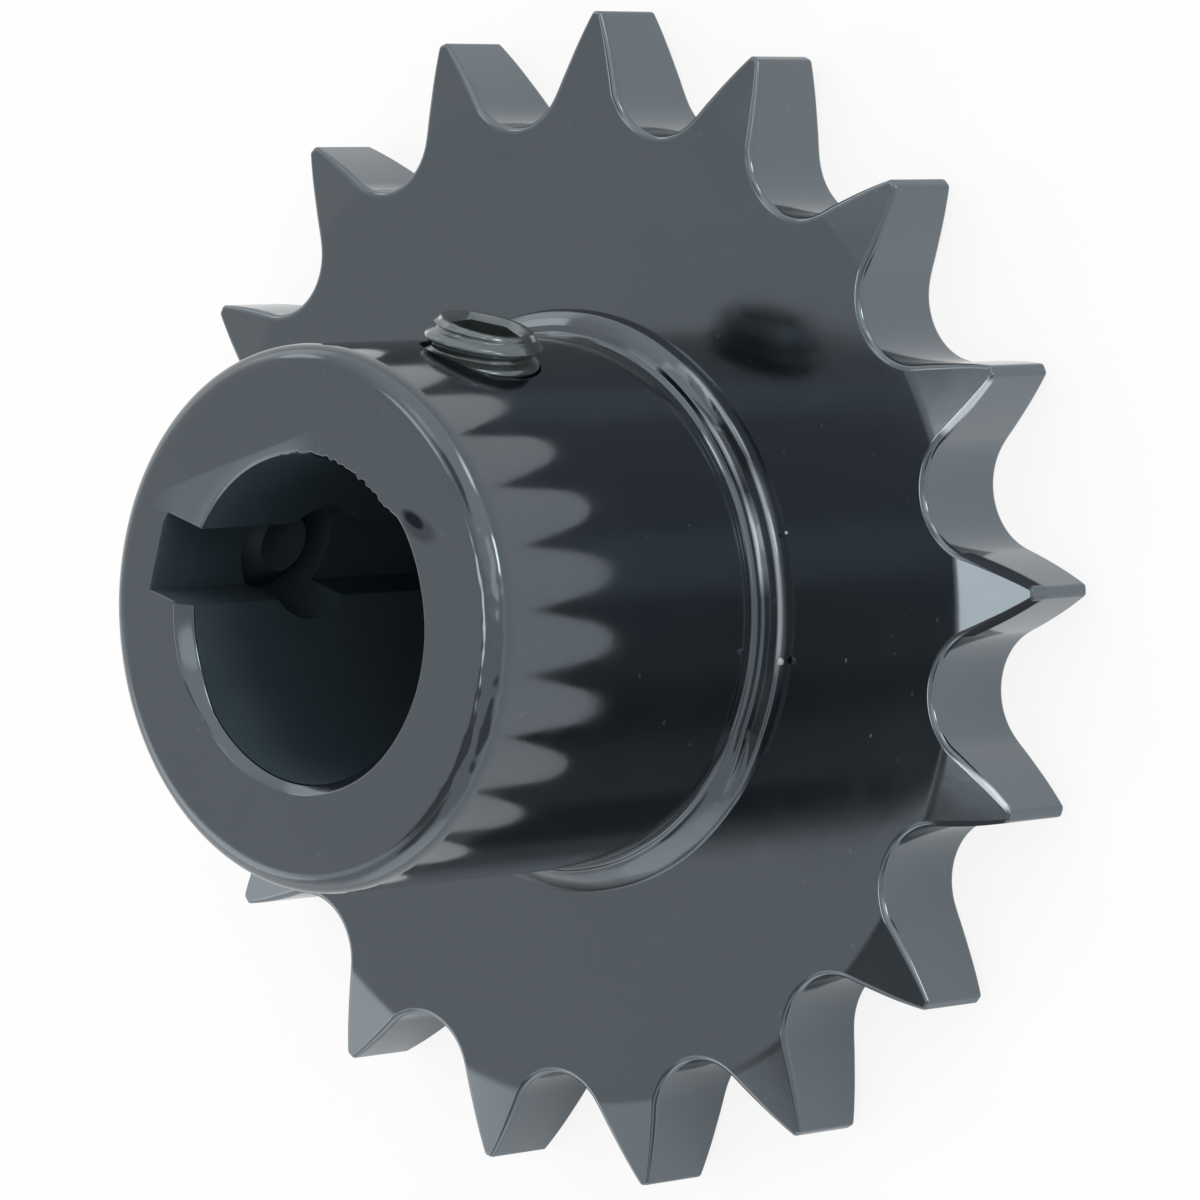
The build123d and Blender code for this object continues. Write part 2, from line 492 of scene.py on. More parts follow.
def mouth_rings():
    """The rings of the bore's mouth, from the bore's wall over the chamfer to the face."""
    start, end = KEYWAY_TURN + KEYWAY_HALF_ANGLE, KEYWAY_TURN - KEYWAY_HALF_ANGLE + 360
    azimuths = np.linspace(start, end, ARC_COLUMNS + 1)
    size = np.interp(azimuths, list(MOUTH_CHAMFERS), list(MOUTH_CHAMFERS.values()), period=360)
    turn = np.radians(azimuths)
    # burrs stand where the chamfer is small, near one azimuth
    nearness = np.cos(turn - radians(BURR_AZIMUTH))
    burred = np.clip(1.3 - size * 2, 0, 1) * np.clip((nearness - 0.8) / 0.1, 0, 1)
    size = size + MOUTH_WANDER * smooth_noise(turn, SEED + 1, range(5, 16))
    size = size + burred * BURR_HEIGHT * smooth_noise(turn, SEED + 2, range(30, 100, 4))
    size = np.maximum(size, LEAST_CHAMFER)
    # past the chamfer's own corners the path runs on by a small reach
    reach = np.minimum(MOUTH_ROUND, MOUTH_ROUND_SHARE * size)
    rings = []
    for share, side in rounded([(0, 2.0), (0, 1), (1, 0), (2.0, 0)], (0.5, 0.5))[1:-1]:
        out = np.where(share > 1, size + (share - 1) * 2 * reach, size * share)
        down = np.where(side > 1, size + (side - 1) * 2 * reach, size * side)
        key_out, key_down = KEYWAY_EDGE * share, KEYWAY_EDGE * side
        rings.append(bore_ring(out, HUB_LENGTH - down, key_out, HUB_LENGTH - key_down))
    return rings


def make_hub(materials):
    """The hub as a closed tube of rings, from the back of the bore through its mouth, over the
    face and down the outside, with the two screw holes cut in it."""
    heights = (BORE_BACK_CHAMFER, *WALL_HEIGHTS, HUB_LENGTH - MOUTH_DEPTH)
    wall = [bore_ring(0.0, height, 0.0, height) for height in heights]
    mouth = mouth_rings()
    corners = [(HUB_RADIUS - inwards, HUB_LENGTH - down) for inwards, down in HUB_EDGE]
    profile = curve_through(corners, 4)
    inner, outer = mouth[-1], outer_ring(*profile[0])
    face = [inner + (outer - inner) * share for share in np.linspace(0, 1, FACE_ROWS)]
    edge = [outer_ring(radius, height) for radius, height in profile[1:]]
    sides = [outer_ring(HUB_RADIUS, height) for height in (*SIDE_HEIGHTS, PLATE_THICKNESS)]
    sides += [outer_ring(SPIGOT_RADIUS, height) for height in (PLATE_THICKNESS, SEAM_CHAMFER)]
    sides.append(outer_ring(SPIGOT_RADIUS - SEAM_CHAMFER, 0.0))
    back = bore_ring(BORE_BACK_CHAMFER, 0.0, 0.0, 0.0)

    # paint gathers unevenly along the outer edge, most of all on one stretch of it
    edge = np.array(edge)
    across = np.linspace(0, pi, len(edge))[:, None]
    away = np.abs((degrees_of(edge) - ROUGH_AZIMUTH) / ROUGH_HALF_SPAN)
    rough = ROUGH_LUMPS[0] * np.clip(1 - away**3, 0.06, 1) * lumps(edge, ROUGH_LUMPS[1], SEED + 3)
    wavy = EDGE_LUMPS[0] * lumps(edge, EDGE_LUMPS[1], SEED + 4)
    relief = np.sin(across) ** 2 * (rough + wavy)
    edge += relief[..., None] * unit(edge * [1, 1, 0] + [0, 0, HUB_RADIUS])

    # the ground facet dips towards the bore
    top = np.array(mouth + face[1:])
    c, s = cos_sin(FACET_AZIMUTH)
    inside = FACET_DISTANCE - (top[..., 0] * c + top[..., 1] * s)
    beside = top[..., 0] > KEYWAY_WIDTH / 2 - 0.2
    beside &= np.abs(degrees_of(top) - FACET_MIDDLE) < FACET_HALF_SPAN
    top[..., 2] -= np.where(beside, FACET_SLOPE * np.clip(inside, 0, FACET_REACH), 0)

    hub = Surface()
    hub.grid([back] + wall + [top[0]], flip=True, paint=1)
    hub.grid(top, flip=True)
    hub.grid(np.array([top[-1]] + list(edge) + sides + [back]), flip=True)
    made = hub.build("hub_painted", materials, keep_normals=False)

    cutters = []
    for name, turn in (("set_screw_hole", 0.0), ("keyway_screw_hole", KEYWAY_TURN)):
        cut = made.modifiers.new(name, "BOOLEAN")
        cut.operation = "DIFFERENCE"
        cut.solver = "EXACT"
        cut.object = hole_cutter(name, turn, materials)
        cutters.append(cut.object)
    apply_modifiers(made)
    for cutter in cutters:
        bpy.data.objects.remove(cutter)
    mark_sharp(made, HUB_SHARP_ANGLE)
    true_normals(made)
    return made


def true_normals(made):
    """Gives the hub's round walls and its flat face their exact normals."""
    mesh = made.data

    def read(items, field, width, kind=float):
        values = np.empty(len(items) * width, dtype=kind)
        items.foreach_get(field, values)
        return values.reshape(-1, width) if width > 1 else values

    normals = read(mesh.corner_normals, "vector", 3)
    points = read(mesh.vertices, "co", 3)[read(mesh.loops, "vertex_index", 1, np.int32)] / MM
    totals = read(mesh.polygons, "loop_total", 1, np.int32)
    facing = np.repeat(read(mesh.polygons, "normal", 3), totals, axis=0)
    reach = np.hypot(points[:, 0], points[:, 1])
    radial = points * [1, 1, 0] / np.maximum(reach, 1e-6)[:, None]
    aligned = np.sum(facing * radial, axis=1)
    outside = (aligned > ROUND_COSINE) & (reach > HUB_RADIUS - WALL_MARGIN)
    bore = (aligned < -ROUND_COSINE) & (reach < BORE_RADIUS + WALL_MARGIN)
    level = facing[:, 2] > LEVEL_COSINE
    normals[outside] = radial[outside]
    normals[bore] = -radial[bore]
    normals[level] = (0, 0, 1)
    mesh.normals_split_custom_set(normals.tolist())


def hole_cutter(name, turn, materials):
    """A cylinder along a set screw's axis, from inside the bore to past the hub."""
    radius = THREAD_RADIUS + HOLE_CLEARANCE
    angles = np.linspace(0, 2 * pi, HOLE_COLUMNS + 1)
    ring = np.stack([np.zeros_like(angles), np.cos(angles), np.sin(angles)], axis=-1)
    sizes = (HOLE_CENTRE, radius, radius, HOLE_CENTRE)
    places = (HOLE_START, HOLE_START, HOLE_END, HOLE_END)
    grid = np.array([ring * size + [place, 0, 0] for size, place in zip(sizes, places)])
    cutter = Surface()
    cutter.grid(turned(grid + [0, 0, SCREW_HEIGHT], turn), paint=1)
    return cutter.build(name, materials, keep_normals=False)


def apply_modifiers(made):
    """Replaces an object's mesh and modifiers by the mesh that they make."""
    graph = bpy.context.evaluated_depsgraph_get()
    mesh = bpy.data.meshes.new_from_object(made.evaluated_get(graph))
    made.modifiers.clear()
    made.data = mesh


def mark_sharp(made, degrees):
    """Smooths an object except along the edges that turn by more than an angle."""
    mesh = made.data
    mesh.set_sharp_from_angle(angle=radians(degrees))
    for polygon in mesh.polygons:
        polygon.use_smooth = True


# -------- weld bead

WELD_COLUMNS = 900
WELD_SHARP_ANGLE = 60.0
# How far the bead runs into the hub and the plate.
WELD_ROOT = 0.02
# Unevenness of the bead: its wander in size round the hub, and height and size of its lumps.
WELD_WANDER = 0.02
WELD_LUMPS = (0.02, 5.0)

# The bead's cross-section as distance from the hub's side and height over the plate. Where it
# was laid in passes it is a stair of small shoulders, and where its step is filled up a slope
# joins the two lower shoulders.
PASSES = (
    (-0.02, 2.1), (0.1, 1.92), (0.34, 1.76), (0.88, 1.68), (0.92, 0.98), (1.98, 0.9),
    (2.12, -0.02),
)
PASS_RADII = (0.3, 0.5, 0.3, 0.02, 0.36)
FILLED = (
    (-0.02, 2.1), (0.1, 1.95), (0.3, 1.74), (0.8, 1.64), (1.4, 1.3), (1.94, 0.86),
    (2.12, -0.02),
)
FILLED_RADII = (0.3, 0.3, 0.25, 1.2, 0.36)
# Where it was laid in one pass it is a crowned slope with a slight lip on the hub's side.
ONE_PASS = (
    (-0.02, 2.3), (0.16, 2.2), (0.3, 1.94), (0.62, 1.74), (1.0, 1.42), (1.36, 1.06),
    (1.68, 0.68), (1.92, 0.34), (2.02, 0.12), (2.15, -0.02),
)
# Which shape the bead has by azimuth.
WELD_AZIMUTHS = (-180, -114, -98, -34, -14, 50, 100, 150, 180)
WELD_SHAPES = ("one", "one", "stair", "stair", "filled", "filled", "stair", "one", "one")
# Drops of spatter: azimuth, distance from the bore axis, height and radius. Their pale grey is
# a painted highlight.
WELD_SPATTER = ((-82.4, 23.2, 9.3, 0.32), (-58.0, 23.9, 8.75, 0.14), (64.0, 22.6, 10.2, 0.2))


def evenly(path, count):
    """Points at even steps along a path."""
    reach = np.concatenate([[0.0], np.cumsum(np.linalg.norm(np.diff(path, axis=0), axis=1))])
    places = np.linspace(0, reach[-1], count)
    return np.column_stack([np.interp(places, reach, path[:, i]) for i in range(2)])


def make_weld(materials):
    """The weld bead, whose cross-section changes from shape to shape round the hub."""
    angles = np.linspace(-pi, pi, WELD_COLUMNS + 1)
    azimuths = np.degrees(angles)
    wander = 1 + WELD_WANDER * smooth_noise(angles, SEED, range(3, 12))
    wander[-1] = wander[0]
    stair = rounded(PASSES, PASS_RADII)
    shapes = {
        "stair": stair,
        "filled": rounded(FILLED, FILLED_RADII),
        "one": evenly(curve_through(ONE_PASS, 6), len(stair)),
    }
    stages = np.array([shapes[name] for name in WELD_SHAPES])

    def ring(out, up):
        radius = HUB_RADIUS + out
        height = np.full_like(angles, PLATE_THICKNESS + up)
        return np.stack([radius * np.cos(angles), radius * np.sin(angles), height], axis=-1)

    grid = []
    for k in range(len(stair)):
        out, up = (wander * np.interp(azimuths, WELD_AZIMUTHS, stages[:, k, i]) for i in range(2))
        grid.append(ring(out, up))
    grid = np.array(grid)
    shoulder = np.sin(np.linspace(0, pi, len(grid)))[:, None]
    relief = WELD_LUMPS[0] * shoulder * lumps(grid, WELD_LUMPS[1], SEED + 5)
    grid += relief[..., None] * unit(grid * [1, 1, 0] + [0, 0, HUB_RADIUS])
    grid[:, -1] = grid[:, 0]
    inner = ring(-WELD_ROOT, -WELD_ROOT)
    inner[-1] = inner[0]
    bead = Surface()
    bead.grid(grid, flip=True)
    bead.grid(np.array([grid[-1], inner, grid[0]]), flip=True)
    for azimuth, reach, height, radius in WELD_SPATTER:
        spot = turned((reach, 0, height), azimuth)
        add_nib(bead, spot, turned((1.0, 0, 1.0), azimuth), radius, radius, paint=1)
    made = bead.build("weld_painted", materials, keep_normals=False)
    mark_sharp(made, WELD_SHARP_ANGLE)
    return made


# -------- set screws

SCREW_COLUMNS = 144
STEPS_PER_PITCH = 24
SCREW_SHARP_ANGLE = 42.0
# The thread's worn crest, its depth and its crest's half width as shares of a pitch, and the
# steepness of its flanks in degrees.
CREST_RADIUS = THREAD_RADIUS - 0.12
THREAD_DEPTH_SHARE = 0.48
CREST_SHARE = 1 / 9
FLANK_STEEPNESS = 58
# The top: radius and rounding of its rim, and slope of its chamfer.
SCREW_RIM_RADIUS = 3.8
SCREW_RIM_ROUND = 0.16
CHAMFER_SLOPE = 0.95
CUP_DEPTH = 1.0
CUP_CENTRE_SHARE = 0.05
# The socket: its countersunk mouth's radius and depth, its depth as a share of the screw's
# length, and the depth of the drill's cone at its floor.
SOCKET_MOUTH = 3.2
SOCKET_MOUTH_DEPTH = 0.42
SOCKET_DEPTH_SHARE = 0.5
DRILL_DEPTH = 0.9
DRILL_CENTRE = 0.02
# Shares of a pitch by which each screw's first crest is turned.
SET_SCREW_PHASE = 0.39
KEYWAY_SCREW_PHASE = 0.1


def thread_radius_at(phase):
    """Radius of the thread at a share of one pitch: a worn crest, flanks and a round root."""
    depth = THREAD_DEPTH_SHARE * THREAD_PITCH
    distance = np.abs((phase + 0.5) % 1.0 - 0.5) * THREAD_PITCH
    slope = tan(radians(FLANK_STEEPNESS))
    crest = THREAD_PITCH * CREST_SHARE
    drop = np.where(
        distance < 2 * crest, slope * distance**2 / (4 * crest), slope * (distance - crest)
    )
    return CREST_RADIUS - np.minimum(drop, depth)


def make_screw(name, materials, low, high, turn, phase):
    """A threaded, cup-pointed set screw with a hexagon socket, from radius low to radius high."""
    length = high - low
    start = radians(SOCKET_TURN)
    angles = np.linspace(0, 2 * pi, SCREW_COLUMNS + 1)
    places = start + angles
    places[-1] = start
    steps = int(ceil((length / THREAD_PITCH + 2) * STEPS_PER_PITCH))
    rows = []
    for j in range(steps + 1):
        z = THREAD_PITCH * (j / STEPS_PER_PITCH - 1 + angles / (2 * pi))
        radius = thread_radius_at(z / THREAD_PITCH - (angles + start) / (2 * pi) + phase)
        z = np.clip(z, 0, length)
        # a rounded top rim that runs into the top chamfer
        below = length - z - SCREW_RIM_ROUND
        bulge = np.sqrt(np.clip(SCREW_RIM_ROUND**2 - np.clip(below, None, 0) ** 2, 0, None))
        chamfer = np.clip(below, 0, None) * CHAMFER_SLOPE
        top_limit = SCREW_RIM_RADIUS - SCREW_RIM_ROUND + bulge + chamfer
        point_limit = CUP_RIM_RADIUS + z
        radius = np.minimum(radius, np.minimum(top_limit, point_limit))
        rows.append(np.stack([radius * np.cos(places), radius * np.sin(places), z], axis=-1))
    rows = np.array(rows)
    screw = Surface()
    screw.grid(rows, paint=rows[1:, 1:, 2] < THREAD_RADIUS - CUP_RIM_RADIUS + 0.1)
    # cup point
    rim = rows[0]
    cup = rim * [CUP_CENTRE_SHARE, CUP_CENTRE_SHARE, 0] + [0, 0, CUP_DEPTH]
    centre = rim * [0, 0, 0] + [0, 0, CUP_DEPTH]
    screw.grid(np.array([centre, cup, rim]), paint=1)
    # top face, socket walls and socket floor
    corner = SOCKET_FLATS / sqrt(3)
    folded = angles % (pi / 3) - pi / 6
    hexagon = corner * cos(pi / 6) / np.cos(folded)
    depth = length * SOCKET_DEPTH_SHARE
    outline = np.stack([np.cos(places), np.sin(places), np.zeros_like(angles)], axis=-1)
    top = rows[-1]
    mouth = outline * SOCKET_MOUTH + [0, 0, length]
    edge = outline * hexagon[:, None] + [0, 0, length - SOCKET_MOUTH_DEPTH]
    foot = outline * hexagon[:, None] + [0, 0, length - depth]
    drill = outline * DRILL_CENTRE + [0, 0, length - depth - DRILL_DEPTH]
    screw.grid(np.array([top, mouth, edge]))
    screw.grid(np.array([edge, foot, drill]), paint=1)
    made = screw.build(name, materials, keep_normals=False)
    mark_sharp(made, SCREW_SHARP_ANGLE)
    about_bore = Matrix.Rotation(radians(turn), 4, "Z")
    to_place = Matrix.Translation(Vector((low, 0, SCREW_HEIGHT)) * MM)
    made.data.transform(about_bore @ to_place @ Matrix.Rotation(pi / 2, 4, "Y"))
    return made


# -------- materials

PAINT_IOR = 2.05
EDGE_IOR = 2.35
BORE_IOR = 1.3
SOCKET_IOR = 1.5
SPECULAR_LEVEL = 0.5
SHEEN_TINT = (0.77, 0.903, 1.0)
# Base colours, where the film is thick and where it is thin.
BLACK = ((0.003, 0.004, 0.006), (0.005, 0.006, 0.008))
BORE_GREY = ((0.032, 0.048, 0.06), (0.042, 0.062, 0.076))
BLACK_OXIDE = ((0.028, 0.032, 0.03), (0.045, 0.05, 0.046))
# A darker oxide for the screw's socket and cup end: painted shade in the recess.
SOCKET_SHADE_OXIDE = ((0.016, 0.02, 0.019), (0.028, 0.032, 0.03))
# Pale grey of the spatter drops: a painted highlight.
SPECK_HIGHLIGHT_GREY = ((0.3, 0.32, 0.34), (0.36, 0.38, 0.4))
# Noise in the finish, as scale and detail: thick and thin film, dust, gloss and orange peel.
FILM_NOISE = (90.0, 5.0)
DUST_NOISE = (1300.0, 1.0)
GLOSS_NOISE = (260.0, 3.0)
PEEL_NOISE = (900.0, 2.0)
PEEL_HEIGHT = 0.02
DUST = (0.08, 0.09, 0.1)

# The gouge's two ellipses: place on the hub's face, direction, half sizes and strength. Its dark
# colour and dulled gloss are painted shade; its dip is a bump.
GOUGES = (
    ((11.35, -9.6), 80.0, (1.5, 0.62), 1.3),
    ((10.95, -10.35), 84.0, (2.0, 1.0), 0.62),
)
# Colour and loss of gloss of the gouge: painted shade.
GOUGE_SHADE_COLOUR = (0.005, 0.008, 0.013)
GOUGE_SHADE_DULLING = 0.36
GOUGE_DEPTH = 0.1
# Lighter colour of the ground facet: a painted sheen.
FACET_SHEEN_GREY = (0.062, 0.07, 0.079)
# Painted highlights, pale stretches along the weld's crests: inner and outer radius, first and last
# azimuth, and strength.
WELD_CREST_HIGHLIGHTS = (
    (22.85, 23.15, -83, -45, 0.55),
    (22.85, 23.1, -38, -19, 0.5),
    (21.82, 22.06, -67, -51, 0.85),
    (21.82, 22.02, -44, -30, 0.5),
)
WELD_HIGHLIGHT_GREY = (0.42, 0.45, 0.48)
# Flank edges with painted light, from the foot of the flank towards the tooth's tip: both ends of
# the mark, its reach over the bevel and down the flank, its strength and its colour. The pale
# colour is a painted highlight; the dark one, with its gloss taken away, is painted shade.
EDGE_HIGHLIGHT_GREY = (0.5, 0.52, 0.55)
EDGE_SHADE_DARK = (0.03, 0.035, 0.042)
EDGE_HIGHLIGHTS_AND_SHADE = (
    ((24.8, -32.5), (30.1, -35.7), 0.5, 0.355, 0.9, EDGE_HIGHLIGHT_GREY),
    ((1.4, -40.6), (-0.45, -46.7), 0.5, 0.355, 0.9, EDGE_HIGHLIGHT_GREY),
    ((16.9, -36.4), (16.3, -44.1), 0.35, 1.6, 1.0, EDGE_SHADE_DARK),
    ((10.2, -38.8), (15.6, -44.4), 0.35, 1.4, 1.0, EDGE_SHADE_DARK),
    ((-4.3, -40.2), (-1.5, -46.9), 0.55, 2.0, 1.0, EDGE_SHADE_DARK),
)
# Painted glints, pale patches on the shaft screw's crests and rim: turn about its axis, least
# distance from it and least x.
SCREW_GLINTS = ((52.0, 4.42, 20.0), (52.0, 3.6, 23.2), (-150.0, 3.55, 23.1))
SCREW_GLINT_GREY = (0.42, 0.43, 0.45)


class Graph:
    """The shader nodes of a material or of the world. Values are sockets, numbers or colours."""

    def __init__(self, tree):
        self.nodes = tree.nodes
        self.links = tree.links

    def plug(self, value, socket):
        """Feeds a socket."""
        if isinstance(value, bpy.types.NodeSocket):
            self.links.new(value, socket)
        elif isinstance(value, tuple):
            socket.default_value = (*value, 1)
        else:
            socket.default_value = value

    def node(self, kind, **values):
        """A new node with values for its inputs, an underscore standing for a space."""
        made = self.nodes.new(kind)
        for name, value in values.items():
            self.plug(value, made.inputs[name.replace("_", " ")])
        return made

    def calc(self, operation, *values):
        made = self.nodes.new("ShaderNodeMath")
        made.operation = operation
        for i, value in enumerate(values):
            self.plug(value, made.inputs[i])
        return made.outputs[0]

    def product(self, first, *others):
        for value in others:
            first = self.calc("MULTIPLY", first, value)
        return first

    def along(self, x, y, step_x, step_y):
        """How far a place in the plane lies along a direction."""
        return self.calc("ADD", self.product(x, step_x), self.product(y, step_y))

    def polar(self, x, y):
        """Distance and angle in degrees of a place in the plane."""
        squares = self.calc("ADD", self.product(x, x), self.product(y, y))
        angle = self.product(self.calc("ARCTAN2", y, x), 180 / pi)
        return self.calc("SQRT", squares), angle

    def ramp(self, source, low, high, start=0.0, end=1.0, kind="LINEAR"):
        """Maps a source from low..high to start..end, clamped."""
        limits = {"From_Min": low, "From_Max": high, "To_Min": start, "To_Max": end}
        made = self.node("ShaderNodeMapRange", Value=source, **limits)
        made.interpolation_type = kind
        return made.outputs["Result"]

    def mixed(self, share, below, above):
        """A colour mixed towards another by a share."""
        made = self.node("ShaderNodeMixRGB", Fac=share, Color1=below, Color2=above)
        return made.outputs["Color"]

    def noise(self, scale, detail):
        """Noise in the row frame, so that it is fixed to the part."""
        place = self.nodes.new("ShaderNodeTexCoord").outputs["Object"]
        made = self.node("ShaderNodeTexNoise", Vector=place, Scale=scale, Detail=detail)
        return made.outputs["Fac"]

    def place(self):
        """Position in millimetres, distance from the bore axis and azimuth in degrees."""
        place = self.nodes.new("ShaderNodeTexCoord").outputs["Object"]
        split = self.node("ShaderNodeSeparateXYZ", Vector=place)
        x, y, z = (self.product(split.outputs[i], 1 / MM) for i in range(3))
        return x, y, z, *self.polar(x, y)


def new_material(name):
    material = bpy.data.materials.new(name)
    material.use_nodes = True
    return material, Graph(material.node_tree)


def enamel(name, colours, roughness, orange_peel, ior=PAINT_IOR, marks=None):
    """Gloss enamel: a dark film with slight orange peel, uneven gloss and a little dust. It has
    two colours, a least and a greatest roughness and a strength of the orange peel. The marks,
    if any, change the colour and the relief."""
    material, graph = new_material(name)
    shader = graph.nodes["Principled BSDF"]
    graph.plug(ior, shader.inputs["IOR"])
    graph.plug(SHEEN_TINT, shader.inputs["Specular Tint"])
    shade = graph.mixed(graph.ramp(graph.noise(*FILM_NOISE), 0.35, 0.65), *colours)
    dusty = graph.ramp(graph.noise(*DUST_NOISE), 0.765, 0.8, 0.0, 0.35)
    shade = graph.mixed(dusty, shade, DUST)
    finish = graph.ramp(graph.noise(*GLOSS_NOISE), 0.3, 0.7, *roughness)
    relief = graph.product(graph.noise(*PEEL_NOISE), PEEL_HEIGHT)
    if marks:
        shade, relief = marks(graph, shader, shade, relief)
    graph.plug(shade, shader.inputs["Base Color"])
    graph.plug(finish, shader.inputs["Roughness"])
    bump = graph.node("ShaderNodeBump", Strength=orange_peel, Distance=MM, Height=relief)
    graph.plug(bump.outputs["Normal"], shader.inputs["Normal"])
    return material


def hub_marks(graph, shader, shade, relief):
    """A gouge in the hub's face, darkened by painted shade, and a painted sheen on the ground
    facet.
    """
    x, y, z, radius, azimuth = graph.place()
    front = graph.ramp(z, HUB_LENGTH - 0.4, HUB_LENGTH - 0.3)
    # the gouge, a narrow ellipse in a wider, fainter one, darkened by painted shade
    gouge_and_shade = 0.0
    for middle, degrees, (half_length, half_width), strength in GOUGES:
        c, s = cos_sin(degrees)
        dx, dy = graph.calc("SUBTRACT", x, middle[0]), graph.calc("SUBTRACT", y, middle[1])
        along = graph.along(dx, dy, c / half_length, s / half_length)
        across = graph.along(dx, dy, -s / half_width, c / half_width)
        spread = graph.calc("ADD", graph.product(along, along), graph.product(across, across))
        gouge_and_shade = graph.calc("MAXIMUM", gouge_and_shade, graph.ramp(spread, 0.35, 1.15, strength, 0.0))
    gouge_and_shade = graph.product(gouge_and_shade, front)
    shade = graph.mixed(gouge_and_shade, shade, GOUGE_SHADE_COLOUR)
    gloss = graph.calc("SUBTRACT", SPECULAR_LEVEL, graph.product(gouge_and_shade, GOUGE_SHADE_DULLING))
    graph.plug(gloss, shader.inputs["Specular IOR Level"])
    relief = graph.calc("SUBTRACT", relief, graph.product(gouge_and_shade, GOUGE_DEPTH))
    # a painted sheen on the ground facet, lighter most of all along the bore
    behind = graph.along(x, y, *cos_sin(FACET_AZIMUTH))
    worn = graph.product(
        graph.ramp(behind, FACET_DISTANCE - 0.2, FACET_DISTANCE, 1.0, 0.0),
        graph.ramp(azimuth, 8.0, 20.0),
        graph.ramp(radius, 16.0, 18.4, 1.0, 0.0),
        graph.ramp(x, KEYWAY_WIDTH / 2 - 0.1, KEYWAY_WIDTH / 2),
        front,
        graph.ramp(radius, BORE_RADIUS + 0.3, BORE_RADIUS + 1.2, 1.0, 0.55),
    )
    return graph.mixed(worn, shade, FACET_SHEEN_GREY), relief


def weld_highlights(graph, shader, shade, relief):
    """Painted highlights: pale stretches along the bead's two crests."""
    _, _, _, radius, azimuth = graph.place()
    for inner, outer, start, end, strength in WELD_CREST_HIGHLIGHTS:
        pale = graph.product(
            graph.ramp(radius, inner - 0.1, inner + 0.1),
            graph.ramp(radius, outer - 0.1, outer + 0.1, 1.0, 0.0),
            graph.ramp(azimuth, start - 3, start + 3, 0.0, strength),
            graph.ramp(azimuth, end - 3, end + 3, 1.0, 0.0),
        )
        shade = graph.mixed(pale, shade, WELD_HIGHLIGHT_GREY)
    return shade, relief


def tooth_highlights_and_shade(graph, shader, shade, relief):
    """Painted light along the front edge of some tooth flanks: pale painted highlights, and dull
    dark lines of painted shade."""
    x, y, z, radius, _ = graph.place()
    # height over the bevel's own slope
    height = graph.calc("ADD", z, graph.product(radius, BEVEL_SLOPE))
    bevel = PLATE_THICKNESS + BEVEL_START * BEVEL_SLOPE
    gloss = SPECULAR_LEVEL
    for start, end, reach, depth, strength, colour in EDGE_HIGHLIGHTS_AND_SHADE:
        length = dist(start, end)
        ux, uy = (end[0] - start[0]) / length, (end[1] - start[1]) / length
        dx, dy = graph.calc("SUBTRACT", x, start[0]), graph.calc("SUBTRACT", y, start[1])
        along = graph.along(dx, dy, ux, uy)
        across = graph.calc("ABSOLUTE", graph.along(dx, dy, -uy, ux))
        mark = graph.product(
            graph.ramp(across, 0.6 * reach, reach, 1.0, 0.0),
            graph.ramp(along, 0.0, 0.8),
            graph.ramp(along, length - 0.5, length, 1.0, 0.0),
            graph.ramp(height, bevel - 1.3 * depth, bevel - 0.85 * depth, 0.0, strength),
        )
        # each mark paints a highlight or, dull and dark, a shade
        shade = graph.mixed(mark, shade, colour)
        if colour == EDGE_SHADE_DARK:
            gloss = graph.calc("SUBTRACT", gloss, graph.product(mark, SPECULAR_LEVEL))
    graph.plug(graph.calc("MAXIMUM", gloss, 0.0), shader.inputs["Specular IOR Level"])
    return shade, relief


def screw_glints(graph, shader, shade, relief):
    """Painted glints: pale patches on the shaft screw's thread crests and rim, at its two sides."""
    x, y, z, _, _ = graph.place()
    reach, angle = graph.polar(y, graph.calc("SUBTRACT", z, SCREW_HEIGHT))
    for middle, inner_reach, inner_x in SCREW_GLINTS:
        away = graph.calc("ABSOLUTE", graph.calc("SUBTRACT", angle, middle))
        glint = graph.product(
            graph.ramp(away, 3.0, 10.0, 0.8, 0.0),
            graph.ramp(reach, inner_reach - 0.1, inner_reach + 0.1),
            graph.ramp(x, inner_x, inner_x + 0.1),
        )
        shade = graph.mixed(glint, shade, SCREW_GLINT_GREY)
    return shade, relief


def dress(made, node):
    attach(made, ROOT)
    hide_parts(node)


# -------- build

plate_paint = enamel("plate_enamel", BLACK, (0.10, 0.16), 0.15)
# The flank enamel carries painted highlights and painted shade along some edges.
tooth_paint = enamel("tooth_enamel", BLACK, (0.08, 0.15), 0.15, EDGE_IOR, tooth_highlights_and_shade)
# The hub's enamel carries the gouge's painted shade and the facet's painted sheen.
hub_paint = enamel("hub_enamel", BLACK, (0.08, 0.13), 0.12, marks=hub_marks)
bore_paint = enamel("bore_enamel", BORE_GREY, (0.5, 0.62), 0.4, BORE_IOR)
# The weld's enamel carries painted highlights along its crests.
weld_paint = enamel("weld_enamel", BLACK, (0.07, 0.12), 0.12, marks=weld_highlights)
# The screw's black oxide carries painted glints on its crests and rim.
screw_finish = enamel("screw_black_oxide", BLACK_OXIDE, (0.12, 0.2), 0.2, marks=screw_glints)
# The spatter drops' pale grey is a painted highlight.
speck_highlight_paint = enamel("painted_highlight_specks", SPECK_HIGHLIGHT_GREY, (0.2, 0.3), 0.2)
# The socket and cup end take a darker oxide, painted shade in the recess.
socket_shade_finish = enamel("socket_oxide_painted_shade", SOCKET_SHADE_OXIDE, (0.3, 0.45), 0.3, SOCKET_IOR)

